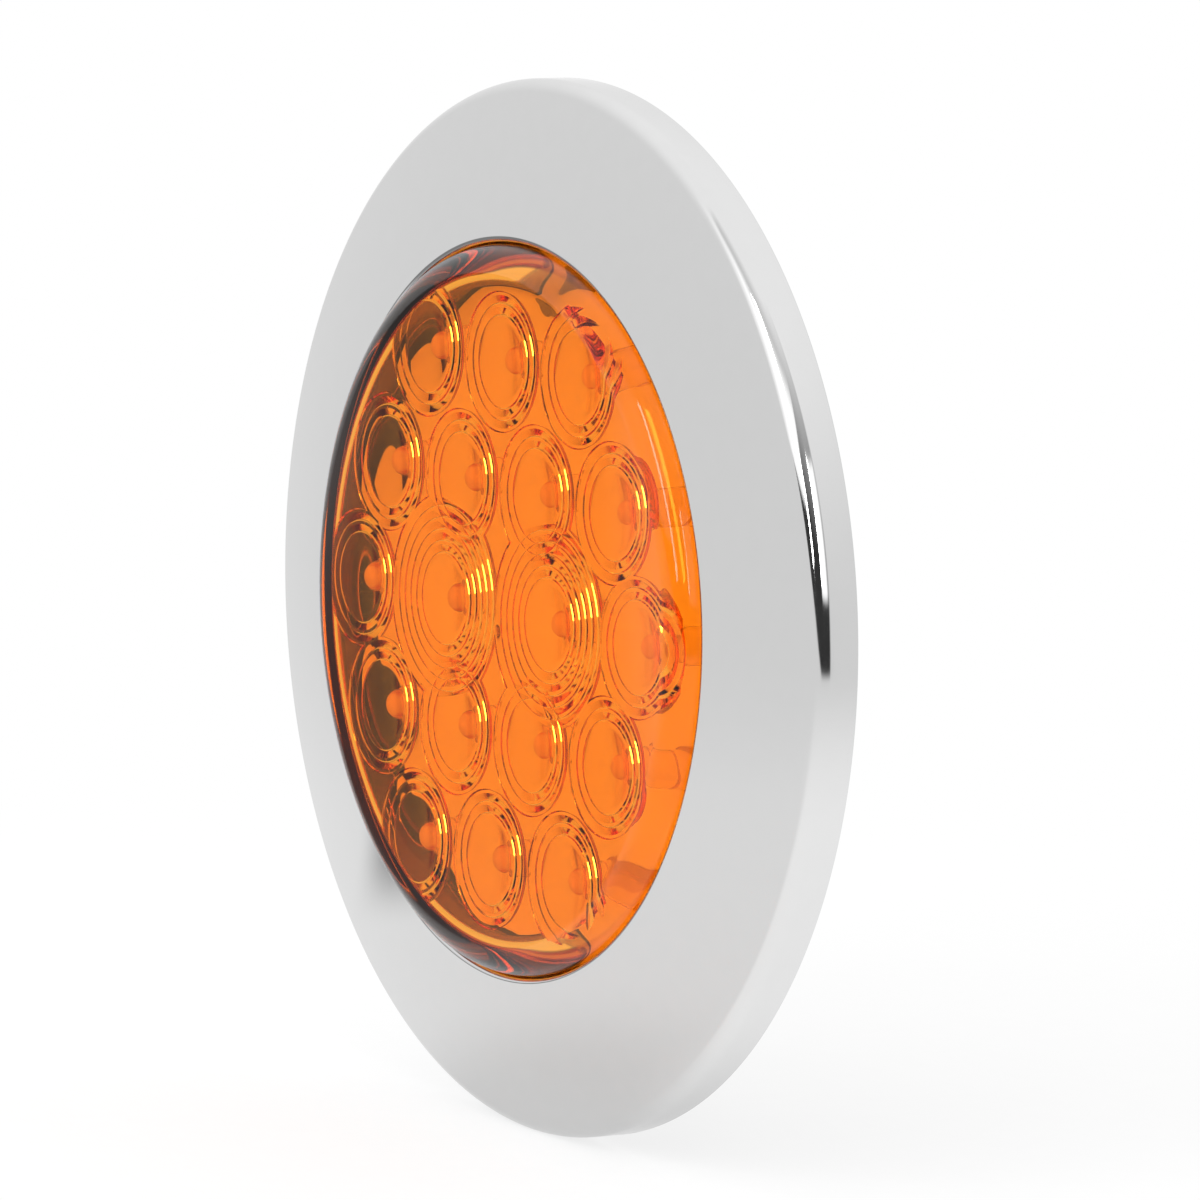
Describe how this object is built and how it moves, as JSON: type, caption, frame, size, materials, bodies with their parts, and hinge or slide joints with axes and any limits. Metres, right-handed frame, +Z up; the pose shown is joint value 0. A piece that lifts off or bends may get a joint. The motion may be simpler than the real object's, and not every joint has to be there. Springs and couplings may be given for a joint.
{
  "type": "round LED lamp with chrome bezel",
  "caption": "Round amber LED lamp for a truck or trailer: flanged housing for a panel hole, flat lens with ringed optics, and a wide chrome bezel that twists on over the flange.",
  "frame": {"origin": "centre of the lamp on the panel, at the rear face of the flange gasket", "axes": "+Y points back through the panel, -Y is the lamp's front, +Z is up, +X is right seen from the front"},
  "size_m": [0.14, 0.0329, 0.14],
  "materials": {
    "chrome_plating": "mirror",
    "amber_lens": "gloss",
    "black_plastic": "satin",
    "foam_rubber": "matte",
    "board_mask": "satin",
    "screw_steel": "satin",
    "chip_resin": "matte",
    "socket_plastic": "satin",
    "seal_epoxy": "gloss",
    "led_epoxy": "gloss",
    "pin_brass": "satin"
  },
  "bodies": {
    "lamp": {"lens": "amber_lens", "housing": "black_plastic", "mounting_flange": "black_plastic", "flange_gasket": "foam_rubber", "circuit_board": "board_mask", "board_screws": "screw_steel", "surge_suppressor": "chip_resin", "pin_socket": "socket_plastic", "pin_seal": "seal_epoxy", "pin_ground": "pin_brass", "pin_running": "pin_brass", "pin_signal": "pin_brass", "led_01": "led_epoxy", "led_02": "led_epoxy", "led_03": "led_epoxy", "led_04": "led_epoxy", "led_05": "led_epoxy", "led_06": "led_epoxy", "led_07": "led_epoxy", "led_08": "led_epoxy", "led_09": "led_epoxy", "led_10": "led_epoxy", "led_11": "led_epoxy", "led_12": "led_epoxy", "led_13": "led_epoxy", "led_14": "led_epoxy", "led_15": "led_epoxy", "led_16": "led_epoxy", "led_17": "led_epoxy", "led_18": "led_epoxy", "resistor_1": "chip_resin", "resistor_2": "chip_resin", "resistor_3": "chip_resin", "resistor_4": "chip_resin", "resistor_5": "chip_resin", "resistor_6": "chip_resin", "diode_1": "chip_resin", "diode_2": "chip_resin"},
    "bezel": {"chrome_bezel": "chrome_plating"}
  },
  "joints": [
    {"name": "bezel_twist", "type": "hinge", "parent": "lamp", "child": "bezel", "pos_m": [0, 0, 0], "axis": [0, -1, 0], "range_deg": [0, 26]}
  ]
}
